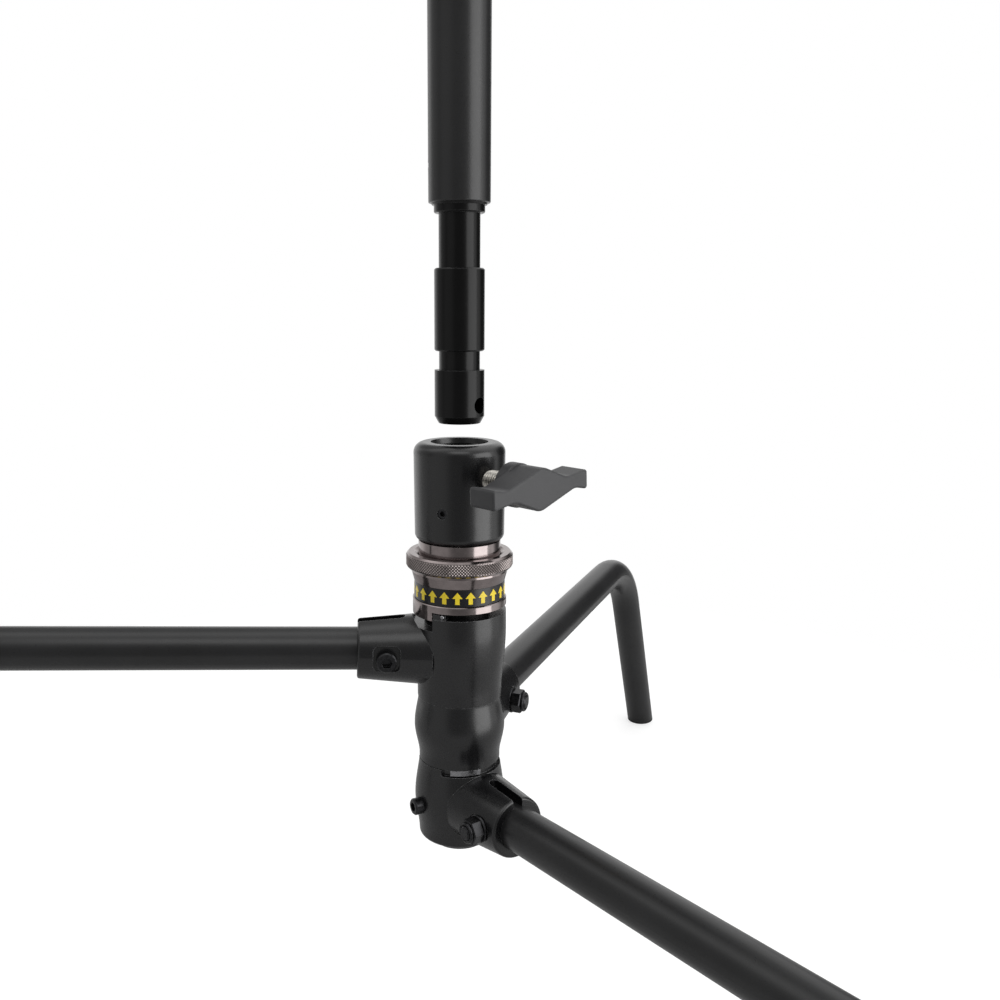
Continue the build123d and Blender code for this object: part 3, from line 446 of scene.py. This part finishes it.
def make_knurl(looks):
    """Diamond knurling rolled round the release collar's grip: one low pyramid to each diamond."""
    low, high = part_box("release_collar")
    root = (high.x - low.x) / 2 + 0.02 * MM
    top, bottom = high.z - KNURL_TOP * MM, high.z - KNURL_BOTTOM * MM
    columns, rows = KNURL_COLUMNS, KNURL_ROWS
    vertices = []
    for row in range(rows + 1):
        z = bottom + (top - bottom) * row / rows
        for i in range(columns):
            crest = (row + i) % 2 and 0 < row < rows
            radius = root + (KNURL_HEIGHT * MM if crest else 0.0)
            turn = i * math.tau / columns
            vertices.append((radius * math.cos(turn), radius * math.sin(turn), z))
    faces = []
    for row in range(1, rows):
        for i in range(columns):
            if (row + i) % 2:
                crest = row * columns + i
                ring = (row * columns + (i + 1) % columns, crest + columns,
                        row * columns + (i - 1) % columns, crest - columns)
                faces += [(crest, ring[k], ring[(k + 1) % 4]) for k in range(4)]
    for row, step in ((0, 1), (rows, -1)):
        for i in range(row % 2, columns, 2):
            inside = (row + step) * columns + i
            for beside in (i + 1, i - 1):
                faces.append((row * columns + i, inside, row * columns + beside % columns))
    add_piece("collar_knurl", "release_collar", looks["knurled_nickel"], vertices, faces)


def make_marks(looks):
    """Plain yellow arrows round the collar's band: they show which way to pull it."""
    low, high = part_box("release_band")
    radius, middle = (high.x - low.x) / 2, (low.z + high.z) / 2
    lift, size = 0.10 * MM, len(ARROW_OUTLINE)
    vertices, faces = [], []
    for k in range(ARROWS):
        first = len(vertices)
        for reach in (radius - lift, radius + lift):
            for across, up in ARROW_OUTLINE:
                turn = k * math.tau / ARROWS + across * MM / radius
                vertices.append((reach * math.cos(turn), reach * math.sin(turn), middle + up * MM))
        for corners in ARROW_FACES:
            faces.append(tuple(first + size + i for i in corners))
        for i in range(size):
            after = (i + 1) % size
            faces.append((first + i, first + after, first + size + after, first + size + i))
    add_piece("collar_marks", "release_collar", looks["mark_yellow"], vertices, faces)


def make_thread(name, body, look, origin, axis, start, end, thread):
    """Rod with a vee thread round it, from start to end along its axis, chamfered at both ends."""
    radius, pitch = (size * MM for size in thread)
    columns, per_turn, depth = 36, 10, 0.58 * pitch
    rows = max(4, round((end - start) / pitch * per_turn)) + 1
    side = axis.orthogonal().normalized()
    up = axis.cross(side)
    vertices = []
    for row in range(rows):
        along = start + (end - start) * row / (rows - 1)
        chamfer = radius - depth + min(along - start, end - along)
        for i in range(columns):
            phase = (along / pitch - i / columns) % 1
            crest = radius - depth * max(0.0, 1.12 * (1 - abs(2 * phase - 1)) - 0.12)
            turn = i * math.tau / columns
            reach = max(min(crest, chamfer), radius - depth)
            vertices.append(origin + axis * along + (side * math.cos(turn) + up * math.sin(turn)) * reach)
    faces = grid_faces(rows, columns)
    faces += [tuple(reversed(range(columns))), tuple(range((rows - 1) * columns, rows * columns))]
    return add_piece(name, body, look, vertices, faces)


def make_release_spring(looks):
    """Compression spring with closed end coils."""
    low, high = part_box("release_spring")
    seat, wire = SPRING_SEAT * MM, SPRING_WIRE * MM
    turns, steps, sides = 5, 300, 12
    coil = (high.x - low.x) / 2 - wire
    closed = 2.05 * wire
    pitch = (high.z - low.z - 2 * wire - 2 * closed) / (turns - 2)
    vertices = []
    for step in range(steps + 1):
        wound = turns * step / steps
        opened = min(max(wound - 1, 0), turns - 2)
        middle = low.z + wire + closed * (wound - opened) + pitch * opened
        for i in range(sides):
            turn = i * math.tau / sides
            reach = coil + wire * math.cos(turn)
            vertices.append((reach * math.cos(wound * math.tau), reach * math.sin(wound * math.tau),
                             middle + wire * math.sin(turn)))
    faces = grid_faces(steps + 1, sides)
    faces += [tuple(reversed(range(sides))), tuple(range(steps * sides, (steps + 1) * sides))]
    piece = add_piece("release_spring_coil", "base", looks["spring_steel"],
                      vertices, faces, smooth=True)
    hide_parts("release_spring")
    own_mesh(piece)


def reach_along(node, origin, axis):
    """Lowest and highest distance of a node's points along an axis."""
    spans = [(vertex.co - origin).dot(axis) for vertex in nodes[node].data.vertices]
    return min(spans), max(spans)


def make_clamp_threads(looks):
    """Cut threads in place of the plain screws behind the three T-handles."""
    for node in ("receiver_screw", "lower_clamp_screw", "upper_clamp_screw"):
        joint = joints[node.split("_")[0] + "_knob_turn"]
        origin, axis = Vector(joint["pos_m"]), Vector(joint["axis"]).normalized()
        start, end = reach_along(node, origin, axis)
        piece = make_thread(node + "_thread", joint["child"], looks["zinc_screw"],
                            origin, axis, start, end, CLAMP_THREAD)
        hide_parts(node)


def make_lock_collar(name, body, look, origin, axis, start):
    """Rounded crown of a lock nut, with the nylon ring's groove inside it."""
    columns = 40
    side = axis.orthogonal().normalized()
    up = axis.cross(side)
    vertices = []
    for radius, along in NUT_CROWN + NUT_CROWN[:1]:
        for i in range(columns):
            turn = i * math.tau / columns
            vertices.append(origin + axis * (start + along * MM)
                            + (side * math.cos(turn) + up * math.sin(turn)) * radius * MM)
    add_piece(name, body, look, vertices, grid_faces(len(NUT_CROWN) + 1, columns), smooth=True)


def make_bolt_ends(looks):
    """Lock nut crowns and the threaded ends of the three cross bolts."""
    for leg, body in (("upper", "upper_leg"), ("middle", "middle_leg"), ("lower", "base")):
        nut, washer = leg + "_leg_nut", leg + "_leg_washer"
        origin = node_middle(washer)
        axis = (node_middle(nut) - origin).normalized()
        face = reach_along(nut, origin, axis)[1]
        tip = reach_along(leg + "_leg_bolt", origin, axis)[1]
        make_lock_collar(leg + "_nut_crown", body, looks["black_oxide"], origin, axis, face)
        make_thread(leg + "_bolt_end", body, looks["black_oxide"], origin, axis,
                    face - 1.0 * MM, tip + 0.05 * MM, BOLT_THREAD)


bpy.context.scene.view_settings.view_transform = "Standard"
make_camera()
make_world()
make_floor()
make_softbox("key", angle=62, distance=1.6, height=0.40, width=1.30, tall=1.9, radiance=2.6)
make_softbox("top", angle=0, distance=1.1, height=1.75, width=1.2, tall=0.8, radiance=1.2)
looks = make_looks()
dress_frame(looks)
make_knurl(looks)
make_marks(looks)
make_release_spring(looks)
make_clamp_threads(looks)
make_bolt_ends(looks)
